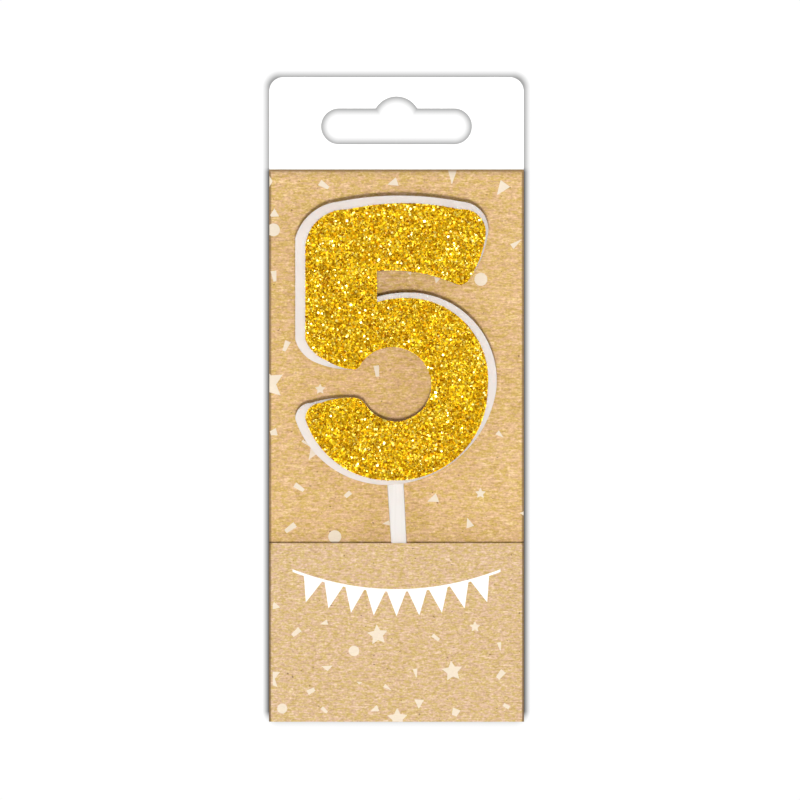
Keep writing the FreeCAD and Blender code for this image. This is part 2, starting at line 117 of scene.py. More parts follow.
class Shader:
    # A node material with a few short ways to add to it.
    def __init__(self, name, **sockets):
        self.material = bpy.data.materials.new(name)
        self.material.use_nodes = True
        self.tree = self.material.node_tree
        self.surface = self.set(self.tree.nodes["Principled BSDF"], **sockets)
        self.place = self.add("ShaderNodeTexCoord").outputs["Object"]

    def add(self, kind, **settings):
        node = self.tree.nodes.new(kind)
        for key, value in settings.items():
            setattr(node, key, value)
        return node

    def link(self, source, target):
        self.tree.links.new(source, target)

    def mapped(self, scale, location=(0, 0, 0)):
        mapping = self.set(self.add("ShaderNodeMapping"), Scale=scale, Location=location)
        self.link(self.place, mapping.inputs["Vector"])
        return mapping.outputs["Vector"]

    def set(self, node, **values):
        for key, value in values.items():
            node.inputs[key.replace("_", " ")].default_value = value
        return node

    def noise(self, vector, detail=4.0, roughness=0.55, distortion=0.0):
        node = self.set(self.add("ShaderNodeTexNoise"), Scale=1.0, Detail=detail, Roughness=roughness,
                        Distortion=distortion)
        self.link(vector, node.inputs["Vector"])
        return node.outputs["Fac"]

    def ramp(self, source, *stops):
        node = self.add("ShaderNodeValToRGB")
        line = node.color_ramp.elements
        for index, (at, colour) in enumerate(stops):
            stop = line[index] if index < 2 else line.new(at)
            stop.position = at
            stop.color = colour if len(colour) == 4 else (*colour, 1)
        self.link(source, node.inputs["Fac"])
        return node.outputs["Color"]

    def mix(self, amount, first, second, blend="MIX"):
        node = self.add("ShaderNodeMix", data_type="RGBA", blend_type=blend)
        for socket, value in zip((node.inputs[0], node.inputs[6], node.inputs[7]), (amount, first, second)):
            if isinstance(value, bpy.types.NodeSocket):
                self.link(value, socket)
            else:
                socket.default_value = value if isinstance(value, float) else (*value, 1)
        return node.outputs[2]

    def math(self, operation, first, second=0.5):
        node = self.add("ShaderNodeMath", operation=operation)
        for socket, value in zip(node.inputs, (first, second)):
            if isinstance(value, bpy.types.NodeSocket):
                self.link(value, socket)
            else:
                socket.default_value = value
        return node.outputs[0]

    def band(self, source, low, high, lowValue=0.0, highValue=1.0):
        node = self.set(self.add("ShaderNodeMapRange"), From_Min=low, From_Max=high, To_Min=lowValue,
                        To_Max=highValue)
        self.link(source, node.inputs["Value"])
        return node.outputs["Result"]

    def bump(self, height, distance):
        node = self.set(self.add("ShaderNodeBump"), Distance=distance, Strength=1.0)
        self.link(height, node.inputs["Height"])
        self.link(node.outputs["Normal"], self.surface.inputs["Normal"])

    def axis(self, index, output="Object"):
        split = self.add("ShaderNodeSeparateXYZ")
        if output == "Object":
            self.link(self.place, split.inputs[0])
        else:
            self.link(self.add("ShaderNodeNewGeometry").outputs[output], split.inputs[0])
        return split.outputs[index]

    def colour(self, source):
        self.link(source, self.surface.inputs["Base Color"])

    def rough(self, source):
        self.link(source, self.surface.inputs["Roughness"])


def dress(obj, material):
    # Give a piece this material alone.
    obj.data.materials.clear()
    obj.data.materials.append(material)


# Kraft board.

kraft = {
    "yellowish": (0.605, 0.41, 0.115), "pinkish": (0.67, 0.425, 0.235),
    "dark": (0.36, 0.205, 0.07), "light": (1.0, 0.79, 0.50), "fleck": (0.20, 0.10, 0.045),
    # How fine each pattern is, across and up. The higher, the finer.
    "fibres": (640.0, 640.0, 3600.0), "patches": (800.0, 800.0, 1900.0),
    "grain": (2100.0, 2100.0, 2730.0), "flecks": (1100.0, 1100.0, 1700.0),
    # Where each tone starts and is whole on its noise, and how much of it then shows.
    "pinkBand": (0.44, 0.56), "fleckBand": (0.755, 0.80, 0.0, 0.8),
    "fibreDark": (0.46, 0.30, 0.0, 0.52), "fibreLight": (0.54, 0.70, 0.0, 0.48),
    "grainDark": (0.45, 0.25, 0.0, 0.42), "grainLight": (0.55, 0.75, 0.0, 0.36),
    # Painted shade: a dark brown laid in a band along each cut side, and on the liner and its print in a line
    # and a soft band under the top edge; their widths and strengths.
    "shadeBrown": (0.20, 0.12, 0.055), "edge": 0.4 * mm, "edgeShade": 0.8,
    "topShadeLine": 0.55, "topShade": 0.28, "lineDeep": 0.7 * mm, "shadeDeep": 1.9 * mm,
    "lineWhole": 0.25 * mm, "shadeWhole": 0.3 * mm, "edgeFrom": 1.3, "edgeWhole": 0.8,
    "pocketTint": (0.93, 0.97, 1.16), "bump": 0.05 * mm,
}


def kraftColour(shader, shift, tint=None):
    # Horizontal fibres and fine grain over patches that drift between a yellowish and a pinkish brown.
    fibres = shader.noise(shader.mapped(kraft["fibres"], shift), detail=3.0, roughness=0.62, distortion=0.5)
    patches = shader.noise(shader.mapped(kraft["patches"], shift), roughness=0.7)
    grain = shader.noise(shader.mapped(kraft["grain"], shift), detail=1.0)
    flecks = shader.noise(shader.mapped(kraft["flecks"], shift), detail=1.0, roughness=0.4)
    base = shader.mix(shader.band(patches, *kraft["pinkBand"]), kraft["yellowish"], kraft["pinkish"])
    for pattern, band, tone in (
            (fibres, "fibreDark", "dark"), (fibres, "fibreLight", "light"),
            (grain, "grainDark", "dark"), (grain, "grainLight", "light"), (flecks, "fleckBand", "fleck")):
        base = shader.mix(shader.band(pattern, *kraft[band]), base, kraft[tone])
    if tint:
        base = shader.mix(1.0, base, tint, blend="MULTIPLY")
    return base, fibres


def topPaintedShade(shader, top):
    # Share of painted shade at each height: a thin dark line at the top edge over a soft painted shade below
    # it.
    height = shader.axis(2)
    soft = shader.band(height, top - kraft["shadeDeep"], top - kraft["shadeWhole"], 0.0, kraft["topShade"])
    thin = shader.band(height, top - kraft["lineDeep"], top - kraft["lineWhole"], 0.0, kraft["topShadeLine"])
    return shader.math("ADD", soft, thin)


def kraftBoard(name, shift, low, high, tint=None, paintedShadeTop=False):
    # Raw kraft with painted shade along its cut sides and, where asked, a painted shade under its top edge.
    shader = Shader(name, Roughness=0.82, Specular_IOR_Level=0.2)
    base, fibres = kraftColour(shader, shift, tint)
    # Painted shade along both cut sides, strongest at the very edge.
    beside = shader.math("ABSOLUTE", shader.math("SUBTRACT", shader.axis(0), (low.x + high.x) / 2))
    half, edge = (high.x - low.x) / 2, kraft["edge"]
    start, whole = half - edge * kraft["edgeFrom"], half - edge * kraft["edgeWhole"]
    paintedShade = shader.band(beside, start, whole, 0.0, kraft["edgeShade"])
    if paintedShadeTop:
        paintedShade = shader.math("MAXIMUM", topPaintedShade(shader, high.z), paintedShade)
    shader.colour(shader.mix(paintedShade, base, kraft["shadeBrown"]))
    shader.rough(shader.band(fibres, 0.3, 0.7, 0.9, 0.74))
    shader.bump(fibres, kraft["bump"])
    return shader.material


# White card.

card = {
    "white": (0.93, 0.93, 0.925), "whiteLow": (0.90, 0.90, 0.895), "grain": (1500.0,) * 3, "bump": 0.008 * mm,
    "cut": (0.80, 0.78, 0.74), "cutLow": (0.66, 0.63, 0.58), "plies": (500.0, 9000.0, 500.0),
}


def whiteBoard():
    # Smooth coated faces, with the duller board showing at its cut edges.
    shader = Shader("whiteBoard", Roughness=0.42)
    grain = shader.noise(shader.mapped(card["grain"]), detail=5.0, roughness=0.6)
    face = shader.ramp(grain, (0.3, card["whiteLow"]), (0.7, card["white"]))
    plies = shader.noise(shader.mapped(card["plies"]), detail=2.0)
    cut = shader.ramp(plies, (0.35, card["cutLow"]), (0.65, card["cut"]))
    facing = shader.math("ABSOLUTE", shader.axis(1, "Normal"))
    shader.colour(shader.mix(shader.band(facing, 0.9, 0.5), face, cut))
    shader.rough(shader.band(grain, 0.3, 0.7, 0.5, 0.36))
    shader.bump(grain, card["bump"])
    return shader.material


# The numeral's outlines.

numeral = {
    "centreUp": 70.4, "bowl": 19.3, "stroke": 12.0, "counterRise": 1.0, "counterTall": 7.8, "full": 0.74,
    "stem": 15.2, "notchSink": 0.9, "notch": 6.5, "armHeight": 14.4, "armReach": 18.8, "armBow": 1.3,
    "armDroop": 2.7, "armTip": 3.2, "armCorner": 5.4, "shoulder": 9.0, "shoulderFall": 1.6,
    "footCorner": 4.4, "footSlope": 2.0, "footBow": 0.45, "mouth": 6.0, "mouthDrop": 1.9, "lip": 1.0,
    "hookCorner": 3.4, "hookBow": 0.5,
    "rimLeft": 2.1, "rimTop": 1.6, "rimBowl": 1.8, "rimArm": 0.4, "rimBottom": 0.9, "rimFloor": 1.1,
    "rimLow": 0.3, "rimFoot": 0.5, "rimShoulder": 1.8,
    # Reaches of the small roundings, as shares of the lip, the arm's tip or its droop.
    "footReach": 1.5, "footIn": 0.8, "counterReach": 0.3, "hookReach": 1.2, "hookIn": 0.7,
    "tipBack": 0.3, "tipUp": 0.45, "droopBow": 0.4,
    # The middle of a quarter round, as shares of its corner, of each end and of its radius.
    "cornerShare": 0.4142, "endShare": 0.2929, "slant": 0.7071, "pointsPerRun": 22,
}


def roundOff(start, corner, end):
    # Middle of the quarter round between start and end whose tangents meet at corner.
    ends = np.array(start) + np.array(end)
    return np.array(corner) * numeral["cornerShare"] + ends * numeral["endShare"], end


def arched(start, end, rise):
    # Middle of the arc that stands above the chord from start to end by rise.
    return (np.array(start) + np.array(end)) / 2 + np.array([0.0, rise]), end


def numeralRuns(rimmed):
    # The 5 in mm about its bowl's centre, anticlockwise from the notch: (through, end) for an arc, (None, end)
    # for a line. Rimmed 0 is the gold face and 1 the wider back of the wax.
    n = numeral
    rim = {key: n[key] * rimmed for key in n if key.startswith("rim")}
    left, right = -n["bowl"] - rim["rimLeft"], n["bowl"] + rim["rimBowl"]
    bottom, top = -n["bowl"] - rim["rimBottom"], n["bowl"] + rim["rimFloor"]
    low = (n["bowl"] + rim["rimLow"]) * n["slant"]
    counter, stemIn = n["bowl"] - n["stroke"], n["stem"] - n["bowl"]
    floor = n["bowl"] - n["notchSink"] + rim["rimFloor"]
    roof = n["bowl"] - n["notchSink"] + n["notch"]
    crown = roof + n["armHeight"] + rim["rimTop"]
    armEnd = n["armReach"] + rim["rimArm"]
    mouthLow = -n["mouthDrop"]
    mouthHigh = mouthLow + n["mouth"]
    foot = mouthHigh + n["footSlope"] - rim["rimFoot"]
    lip, tip, full = n["lip"], n["armTip"], n["full"]
    start = (stemIn, roof)
    tipLeft = (n["armReach"] - tip * 2, roof - n["armDroop"])
    tipRight = (n["armReach"] - tip, roof - n["armDroop"] / 2)
    armRight = (armEnd, roof + n["armHeight"] / 2)
    crownRight = (armEnd - n["armCorner"], crown - n["armBow"])
    crownLeft = (left + n["shoulder"], crown - n["armBow"])
    shoulder = (left, crown - n["shoulder"])
    footLeft = (left, mouthHigh + n["footSlope"] + n["footCorner"])
    footLow = (left + n["footCorner"], foot)
    footLip = (-counter - lip * n["footReach"], mouthHigh)
    counterLeft = (-counter - lip * n["counterReach"], mouthHigh + lip)
    hookIn = (-counter + lip * n["hookIn"], mouthLow - lip * n["hookReach"])
    hookLip = (-counter - lip * n["hookReach"], mouthLow)
    hookTop = (left + n["hookCorner"], mouthLow - lip)
    hookEnd = (left, mouthLow - lip - n["hookCorner"])
    bowlHigh, floorCorner = (lip * 2, top), (stemIn, floor)
    runs = [
        arched(start, tipLeft, n["armDroop"] * n["droopBow"]),
        arched(tipLeft, tipRight, -tip / 4),
        roundOff(tipRight, (armEnd - tip * n["tipBack"], roof + tip * n["tipUp"]), armRight),
        roundOff(armRight, (armEnd, crown), crownRight),
        arched(crownRight, crownLeft, n["armBow"]),
        roundOff(crownLeft, (left, crown - n["shoulderFall"] - rim["rimShoulder"]), shoulder),
        (None, footLeft),
        roundOff(footLeft, (left, foot + n["footCorner"] / 2), footLow),
        arched(footLow, footLip, -n["footBow"]),
        roundOff(footLip, (-counter - lip * n["footIn"], mouthHigh), counterLeft),
        ((0.0, n["counterRise"] + n["counterTall"]), (counter, n["counterRise"])),
        ((0.0, n["counterRise"] - n["counterTall"]), hookIn),
        roundOff(hookIn, (-counter, mouthLow), hookLip),
        arched(hookLip, hookTop, n["hookBow"]),
        roundOff(hookTop, (left, mouthLow - lip), hookEnd),
        ((left * full, bottom * full), (-lip, bottom)),
        ((low, -low), (right, 0.0)),
        ((right * full, top * full), bowlHigh),
        arched(bowlHigh, floorCorner, n["notchSink"] / 4),
        (None, start),
    ]
    return start, runs


def arcPoints(start, through, end, count):
    # Points along the circle through three places, from start up to but not including end.
    t = np.arange(count) / count
    a, b = np.array(start, float), np.array(end, float)
    if through is None:
        return a + (b - a) * t[:, None]
    c = np.array(through, float)
    chord, spur = b - a, c - a
    cross = chord[0] * spur[1] - chord[1] * spur[0]
    hub = a + np.array([spur[1] * chord.dot(chord) - chord[1] * spur.dot(spur),
                        chord[0] * spur.dot(spur) - spur[0] * chord.dot(chord)]) / (2 * cross)
    angles = [math.atan2(*(p - hub)[::-1]) for p in (a, c, b)]
    turn = (angles[2] - angles[0]) % (2 * math.pi)
    if (angles[1] - angles[0]) % (2 * math.pi) > turn:
        turn -= 2 * math.pi
    sweep = angles[0] + turn * t
    return hub + np.linalg.norm(a - hub) * np.stack([np.cos(sweep), np.sin(sweep)], axis=1)


def numeralOutline(rimmed):
    # Closed outline as an array of (x, z) places in metres in the row's frame.
    here, runs = numeralRuns(rimmed)
    parts = []
    for through, end in runs:
        parts.append(arcPoints(here, through, end, numeral["pointsPerRun"]))
        here = end
    flat = np.concatenate(parts) * mm
    return flat + np.array([0.0, cardFoot + numeral["centreUp"] * mm])


def inward(outline):
    # Unit vectors that point into an anticlockwise outline, square to its run.
    along = np.roll(outline, -1, axis=0) - np.roll(outline, 1, axis=0)
    along /= np.linalg.norm(along, axis=1)[:, None]
    return np.stack([-along[:, 1], along[:, 0]], axis=1)


backOutline = numeralOutline(1)
faceOutline = numeralOutline(0)

# Wax.

wax = {
    "wall": 6.8 * mm, "backRound": 0.45 * mm, "edgeRound": 0.12 * mm, "roundSteps": 5, "bevelSteps": 5,
    "colour": (0.755, 0.685, 0.64), "deep": (0.73, 0.655, 0.61), "clouds": (160.0,) * 3,
    "grain": (900.0,) * 3, "bump": 0.02 * mm, "merge": 0.001 * mm, "crisp": 30,
}


def makeWax():
    # Profile carried round the outline: back rounding, straight side, bevelled rim, front rounding.
    back, front = waxHigh.y, waxLow.y
    backIn, faceIn = inward(backOutline), inward(faceOutline)
    quarter = np.linspace(0, math.pi / 2, wax["roundSteps"])
    rings = []
    for angle in quarter:
        inset = wax["backRound"] * (1 - math.sin(angle))
        rings.append((backOutline + backIn * inset, back - wax["backRound"] * (1 - math.cos(angle))))
    shoulder = back - wax["wall"]
    rings.append((backOutline, shoulder))
    for share in np.linspace(0, 1, wax["bevelSteps"])[1:-1]:
        flat = backOutline * (1 - share) + faceOutline * share
        rings.append((flat, shoulder + (front + wax["edgeRound"] - shoulder) * share))
    for angle in quarter:
        inset = wax["edgeRound"] * (1 - math.cos(angle))
        depth = front + wax["edgeRound"] * (1 - math.sin(angle))
        rings.append((faceOutline + faceIn * inset, depth))
    points = np.concatenate([standing(flat, y) for flat, y in rings])
    size = len(backOutline)
    faces = gridFaces(len(rings), size) + endFaces(len(rings), size)
    return sharpBy(closeUp(piece("waxNumeral", points, faces), wax["merge"]), wax["crisp"])


def waxMaterial():
    # Soft white paraffin: a little light goes in, with faint cloudiness and tool marks.
    shader = Shader("whiteWax", Roughness=0.42, Subsurface_Weight=0.4, Subsurface_Radius=(1.0, 0.7, 0.6),
                    Subsurface_Scale=1.2 * mm)
    clouds = shader.noise(shader.mapped(wax["clouds"]), detail=3.0)
    shader.colour(shader.ramp(clouds, (0.3, wax["deep"]), (0.65, wax["colour"])))
    grain = shader.noise(shader.mapped(wax["grain"]))
    shader.rough(shader.band(grain, 0.3, 0.7, 0.38, 0.55))
    shader.bump(grain, wax["bump"])
    return shader.material


waxNumeral = makeWax()
dress(waxNumeral, waxMaterial())
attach(waxNumeral, "candle")
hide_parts("wax_body")
print("stage: wax numeral", len(waxNumeral.data.polygons))

# Glitter.

glitter = {
    "bed": {"pitch": 0.40 * mm, "jitter": 0.45, "rowStep": 0.866, "inset": 0.6, "rimInset": 0.02 * mm,
            "roughness": 0.52, "boost": 0.92, "lacquer": 0.0},
    "coarse": {"count": 9200, "radius": 0.25 * mm, "tilt": 29.0, "lift": 0.20 * mm, "inset": 0.16 * mm,
               "roughness": 0.52, "boost": 1.0, "lacquer": 0.02},
    "fine": {"count": 9800, "radius": 0.16 * mm, "tilt": 34.0, "lift": 0.26 * mm, "inset": 0.10 * mm,
             "roughness": 0.49, "boost": 1.0, "lacquer": 0.02},
    "glints": {"count": 300, "radius": 0.23 * mm, "tilt": 11.0, "lift": 0.30 * mm, "inset": 0.30 * mm,
               "roughness": 0.36, "boost": 1.0, "lacquer": 0.05},
    "relief": 0.13 * mm, "coat": 0.12 * mm, "sunk": 0.02 * mm, "flakeSheet": 0.03 * mm, "seed": 5,
    "mottling": (520.0,) * 3, "scuffs": (5200.0,) * 3, "bump": 0.01 * mm, "dimmed": (0.84, 0.76, 0.7),
    "smallest": 0.75, "sizeSpread": 0.5,
    "tones": [(0.0, (0.35, 0.12, 0.001)), (0.22, (0.54, 0.26, 0.002)), (0.56, (0.68, 0.43, 0.007)),
              (0.88, (0.78, 0.57, 0.022)), (1.0, (0.88, 0.76, 0.17))],
    "glintTones": [(0.0, (1.0, 0.88, 0.20)), (1.0, (1.0, 0.94, 0.44))],
}
dice = np.random.default_rng(glitter["seed"])


def inside(outline, places):
    # Even-odd test of many places against one outline.
    a, b = outline, np.roll(outline, -1, axis=0)
    x, z = places[:, 0, None], places[:, 1, None]
    straddles = (a[:, 1] > z) != (b[:, 1] > z)
    rise = np.where(b[:, 1] == a[:, 1], 1e-12, b[:, 1] - a[:, 1])
    cut = a[:, 0] + (z - a[:, 1]) * (b[:, 0] - a[:, 0]) / rise
    return (np.sum(straddles & (x < cut), axis=1) % 2) == 1


def flakeTints(count, tones):
    # Each flake draws its own tone from a scale that runs from amber to lemon.
    stops = np.array([at for at, _ in tones])
    scale = np.array([tone for _, tone in tones])
    draw = dice.random(count)
    tint = np.stack([np.interp(draw, stops, scale[:, i]) for i in range(3)], axis=1)
    return tint * (0.9 + 0.2 * dice.random((count, 1)))


def paintFaces(obj, tints):
    # One colour for each face, stored on its corners.
    attribute = obj.data.color_attributes.new("flakeTint", "FLOAT_COLOR", "CORNER")
    sides = np.empty(len(obj.data.polygons), np.int32)
    obj.data.polygons.foreach_get("loop_total", sides)
    colours = np.repeat(np.column_stack([tints, np.ones(len(tints))]), sides, axis=0)
    attribute.data.foreach_set("color", colours.astype(np.float32).ravel())


def makeBed():
    # The coat under the loose flakes: scattered facets at odd tilts, closed by a rim and a flat back.
    bed = glitter["bed"]
    pitch = bed["pitch"]
    low, high = faceOutline.min(0), faceOutline.max(0)
    x, z = np.meshgrid(np.arange(low[0], high[0], pitch), np.arange(low[1], high[1], pitch * bed["rowStep"]))
    x = x + (np.arange(len(x)) % 2)[:, None] * pitch / 2
    places = np.column_stack([x.ravel(), z.ravel()])
    places += (dice.random(places.shape) - 0.5) * 2 * bed["jitter"] * pitch
    rim = faceOutline + inward(faceOutline) * bed["rimInset"]
    places = places[inside(faceOutline + inward(faceOutline) * pitch * bed["inset"], places)]
    size = len(rim)
    every = np.concatenate([rim, places])
    edges = [(i, (i + 1) % size) for i in range(size)]
    flat, _, triangles, *_ = delaunay_2d_cdt([Vector(p) for p in every / mm], edges, [], 1, 1e-4)
    flat = np.array([tuple(p) for p in flat]) * mm
    relief = dice.random(len(flat)) * glitter["relief"]
    relief[:size] /= 2
    front = standing(flat, waxLow.y - glitter["coat"] - relief)
    back = standing(flat, waxLow.y + glitter["sunk"])
    count = len(flat)
    faces = [list(t) for t in triangles] + [[i + count for i in t][::-1] for t in triangles]
    faces += [[i, (i + 1) % size, (i + 1) % size + count, i + count] for i in range(size)]
    obj = piece("glitterBed", np.concatenate([front, back]), faces, smooth=False)
    closeUp(obj)
    paintFaces(obj, flakeTints(len(obj.data.polygons), glitter["tones"]))
    return obj


def makeFlakes(name, kind, tones):
    # Thin six-sided plates: each is spun about its own middle, then tipped, evenly over a cone.
    low, high = faceOutline.min(0), faceOutline.max(0)
    places = low + dice.random((kind["count"] * 3, 2)) * (high - low)
    places = places[inside(faceOutline + inward(faceOutline) * kind["inset"], places)][:kind["count"]]
    count = len(places)
    corner = np.arange(6) * math.pi / 3
    ring = np.column_stack([np.cos(corner), np.sin(corner)])
    plate = np.concatenate([standing(ring, side) for side in (-0.5, 0.5)])
    size = kind["radius"] * (glitter["smallest"] + glitter["sizeSpread"] * dice.random(count))
    local = plate[None] * np.stack([size, np.full(count, glitter["flakeSheet"]), size], axis=1)[:, None]
    spin, lean, tip = dice.random(count) * 2 * math.pi, dice.random(count) * 2 * math.pi, dice.random(count)
    c, s = np.cos(spin)[:, None], np.sin(spin)[:, None]
    x, y, z = np.moveaxis(local, -1, 0)
    spun = np.stack([x * c + z * s, y, z * c - x * s], axis=-1)

    # Tipping about an axis in the face: the part along the axis stays, the rest turns.
    tip = np.radians(kind["tilt"]) * np.sqrt(tip)
    c, s = np.cos(tip)[:, None, None], np.sin(tip)[:, None, None]
    axis = np.stack([np.cos(lean), np.zeros(count), np.sin(lean)], axis=1)
    axes = np.repeat(axis[:, None], 12, axis=1)
    turned = spun * c + np.cross(axes, spun) * s + axes * np.sum(axes * spun, axis=-1, keepdims=True) * (1 - c)
    height = waxLow.y - glitter["coat"] - glitter["relief"] / 2 - dice.random(count) * kind["lift"] / 2
    points = turned + standing(places, height)[:, None]
    near, beside, base = np.arange(6), (np.arange(6) + 1) % 6, np.arange(count)[:, None, None] * 12
    hexes = (base + np.stack([near, near[::-1] + 6])).reshape(-1, 6).tolist()
    walls = (base + np.stack([near, near + 6, beside + 6, beside], axis=1)).reshape(-1, 4).tolist()
    obj = piece(name, points.reshape(-1, 3), hexes + walls, smooth=False)
    tints = flakeTints(count, tones)
    paintFaces(obj, np.concatenate([np.repeat(tints, 2, axis=0), np.repeat(tints, 6, axis=0)]))
    return obj


def glitterMaterial(name, kind):
    # Gold foil whose tone comes from each flake's own tint, under a thin lacquer.
    roughness, boost = kind["roughness"], kind["boost"]
    dimmed = tuple(share * boost for share in glitter["dimmed"])
    shader = Shader(name, Roughness=roughness, Metallic=1.0, Coat_Weight=kind["lacquer"], Coat_Roughness=0.1)
    tint = shader.add("ShaderNodeVertexColor", layer_name="flakeTint").outputs["Color"]
    mottling = shader.noise(shader.mapped(glitter["mottling"]), detail=2.0)
    drift = shader.ramp(mottling, (0.34, dimmed), (0.62, (boost,) * 3))
    shader.colour(shader.mix(1.0, tint, drift, blend="MULTIPLY"))
    scuffs = shader.noise(shader.mapped(glitter["scuffs"]), detail=2.0)
    shader.rough(shader.band(scuffs, 0.3, 0.7, roughness - 0.06, roughness + 0.1))
    shader.bump(scuffs, glitter["bump"])
    return shader.material


glitterBed = makeBed()
coarseFlakes = makeFlakes("glitterFlakes", glitter["coarse"], glitter["tones"])
fineFlakes = makeFlakes("glitterSparks", glitter["fine"], glitter["tones"])
flatFlakes = makeFlakes("glitterGlints", glitter["glints"], glitter["glintTones"])
dress(glitterBed, glitterMaterial("goldBed", glitter["bed"]))
dress(coarseFlakes, glitterMaterial("goldFlakes", glitter["coarse"]))
dress(fineFlakes, glitterMaterial("goldSparks", glitter["fine"]))
dress(flatFlakes, glitterMaterial("goldGlints", glitter["glints"]))
for flakes in (glitterBed, coarseFlakes, fineFlakes, flatFlakes):
    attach(flakes, "candle")
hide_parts("glitter_face")
print("stage: glitter", *(len(obj.data.polygons) for obj in (glitterBed, coarseFlakes, fineFlakes)))

# Pick.

pick = {
    "exitWidth": 3.5 * mm, "endWidth": 2.9 * mm, "bluntWidth": 0.6 * mm, "sheet": 1.8 * mm, "thinning": 0.55,
    "length": 45.0 * mm, "point": 7.0 * mm, "held": 10.0 * mm, "lean": 0.058, "across": 0.22 * mm,
    "pointCurve": 1.6, "roundness": 9.0, "rings": 140, "around": 56, "crisp": 50,
    "pale": (0.73, 0.695, 0.66), "dull": (0.695, 0.66, 0.625), "streaks": (2600.0, 2600.0, 120.0),
    "bump": 0.012 * mm,
}


def makePick():
    # A squarish superellipse carried down the lean, narrowing evenly, then drawn in by a power of the way along
    # the point.
    drop = np.linspace(-pick["held"], pick["length"], pick["rings"])
    pointStart = pick["length"] - pick["point"]
    narrowing = np.clip(drop / pointStart, 0, 1)
    width = pick["exitWidth"] + (pick["endWidth"] - pick["exitWidth"]) * narrowing
    share = np.clip((drop - pointStart) / pick["point"], 0, 1)
    drawnIn = share ** pick["pointCurve"]
    width = width * (1 - drawnIn) + pick["bluntWidth"] * drawnIn
    depth = pick["sheet"] * (1 - pick["thinning"] * share ** 2)
    exitUp = cardFoot + (numeral["centreUp"] - numeral["bowl"] - numeral["rimBottom"]) * mm
    angle = np.arange(pick["around"]) * 2 * math.pi / pick["around"]
    power = 2 / pick["roundness"]
    ringX = np.sign(np.cos(angle)) * np.abs(np.cos(angle)) ** power
    ringY = np.sign(np.sin(angle)) * np.abs(np.sin(angle)) ** power
    x = width[:, None] / 2 * ringX + (pick["lean"] * drop - pick["across"])[:, None]
    y = depth[:, None] / 2 * ringY + (pickLow.y + pickHigh.y) / 2
    z = np.repeat((exitUp - drop)[:, None], pick["around"], axis=1)
    points = np.stack([x, y, z], axis=-1).reshape(-1, 3)
    faces = gridFaces(pick["rings"], pick["around"]) + endFaces(pick["rings"], pick["around"])
    return sharpBy(closeUp(piece("cakePick", points, faces)), pick["crisp"])


def pickMaterial():
    # Moulded white plastic with faint flow streaks down its length.
    shader = Shader("pickPlastic", Roughness=0.6, Specular_IOR_Level=0.3, Subsurface_Weight=0.08,
                    Subsurface_Scale=0.6 * mm)
    streaks = shader.noise(shader.mapped(pick["streaks"]), detail=3.0)
    shader.colour(shader.ramp(streaks, (0.35, pick["dull"]), (0.65, pick["pale"])))
    shader.rough(shader.band(streaks, 0.3, 0.7, 0.56, 0.66))
    shader.bump(streaks, pick["bump"])
    return shader.material


cakePick = makePick()
dress(cakePick, pickMaterial())
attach(cakePick, "candle")
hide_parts("pick")

# Wick.

wick = {
    "radius": 0.62 * mm, "relief": 0.13, "strands": 3, "turns": 900.0, "rings": 220, "around": 36,
    "knee": 0.75 * mm, "fray": 1.2 * mm, "frayedTo": 0.35, "rootLeast": 0.05 * mm,
    "cream": (0.88, 0.83, 0.72), "groove": (0.70, 0.62, 0.48), "yarn": (2600.0, 2600.0, 900.0),
    "bump": 0.04 * mm,
}


def makeWick():
    # A tube carried straight out, round a quarter turn and straight down. Its radius swells by the larger of
    # two cosines that wind opposite ways, which are the strands, and falls to a frayed end by a square root.
    half = (wickHigh.x - wickLow.x) / 2
    top, rootY = wickHigh.z - half, wickLow.y
    rootRun = max(wickHigh.y - half - rootY - wick["knee"], wick["rootLeast"])
    bendRun = wick["knee"] * math.pi / 2
    total = rootRun + bendRun + top - wickLow.z - wick["knee"]
    s = np.linspace(0, total, wick["rings"])
    turn = np.clip((s - rootRun) / bendRun, 0, 1) * math.pi / 2
    y = rootY + np.minimum(s, rootRun) + wick["knee"] * np.sin(turn)
    z = top - wick["knee"] * (1 - np.cos(turn)) - np.maximum(s - rootRun - bendRun, 0)
    centre = np.stack([np.full(len(s), (wickLow.x + wickHigh.x) / 2), y, z], axis=1)
    side = np.array([1.0, 0.0, 0.0])
    up = np.stack([np.zeros(len(s)), np.sin(turn), np.cos(turn)], axis=1)
    angle = np.arange(wick["around"]) * 2 * math.pi / wick["around"]
    wound = wick["turns"] * s[:, None]
    strands = [np.cos(wick["strands"] * (angle + way * wound)) for way in (1, -1)]
    frayed = np.sqrt(np.clip((total - s) / wick["fray"], 0, 1))[:, None]
    radius = wick["radius"] * (1 + wick["relief"] * np.maximum(*strands))
    radius = radius * (wick["frayedTo"] + (1 - wick["frayedTo"]) * frayed)
    ring = np.cos(angle)[None, :, None] * side + np.sin(angle)[None, :, None] * up[:, None]
    points = (centre[:, None] + ring * radius[..., None]).reshape(-1, 3)
    faces = gridFaces(wick["rings"], wick["around"]) + endFaces(wick["rings"], wick["around"])
    return closeUp(piece("wickBraid", points, faces))


def cottonMaterial():
    # Waxed cotton: fine yarn streaks, cream with a dirtier tone in the grooves.
    shader = Shader("waxedCotton", Roughness=0.6)
    yarn = shader.noise(shader.mapped(wick["yarn"]))
    shader.colour(shader.ramp(yarn, (0.3, wick["groove"]), (0.7, wick["cream"])))
    shader.rough(shader.band(yarn, 0.3, 0.7, 0.5, 0.75))
    shader.bump(yarn, wick["bump"])
    return shader.material


cotton = cottonMaterial()
wickBraid = makeWick()
dress(wickBraid, cotton)
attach(wickBraid, "wick_end")
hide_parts("wick_tip")
print("stage: pick and wick")

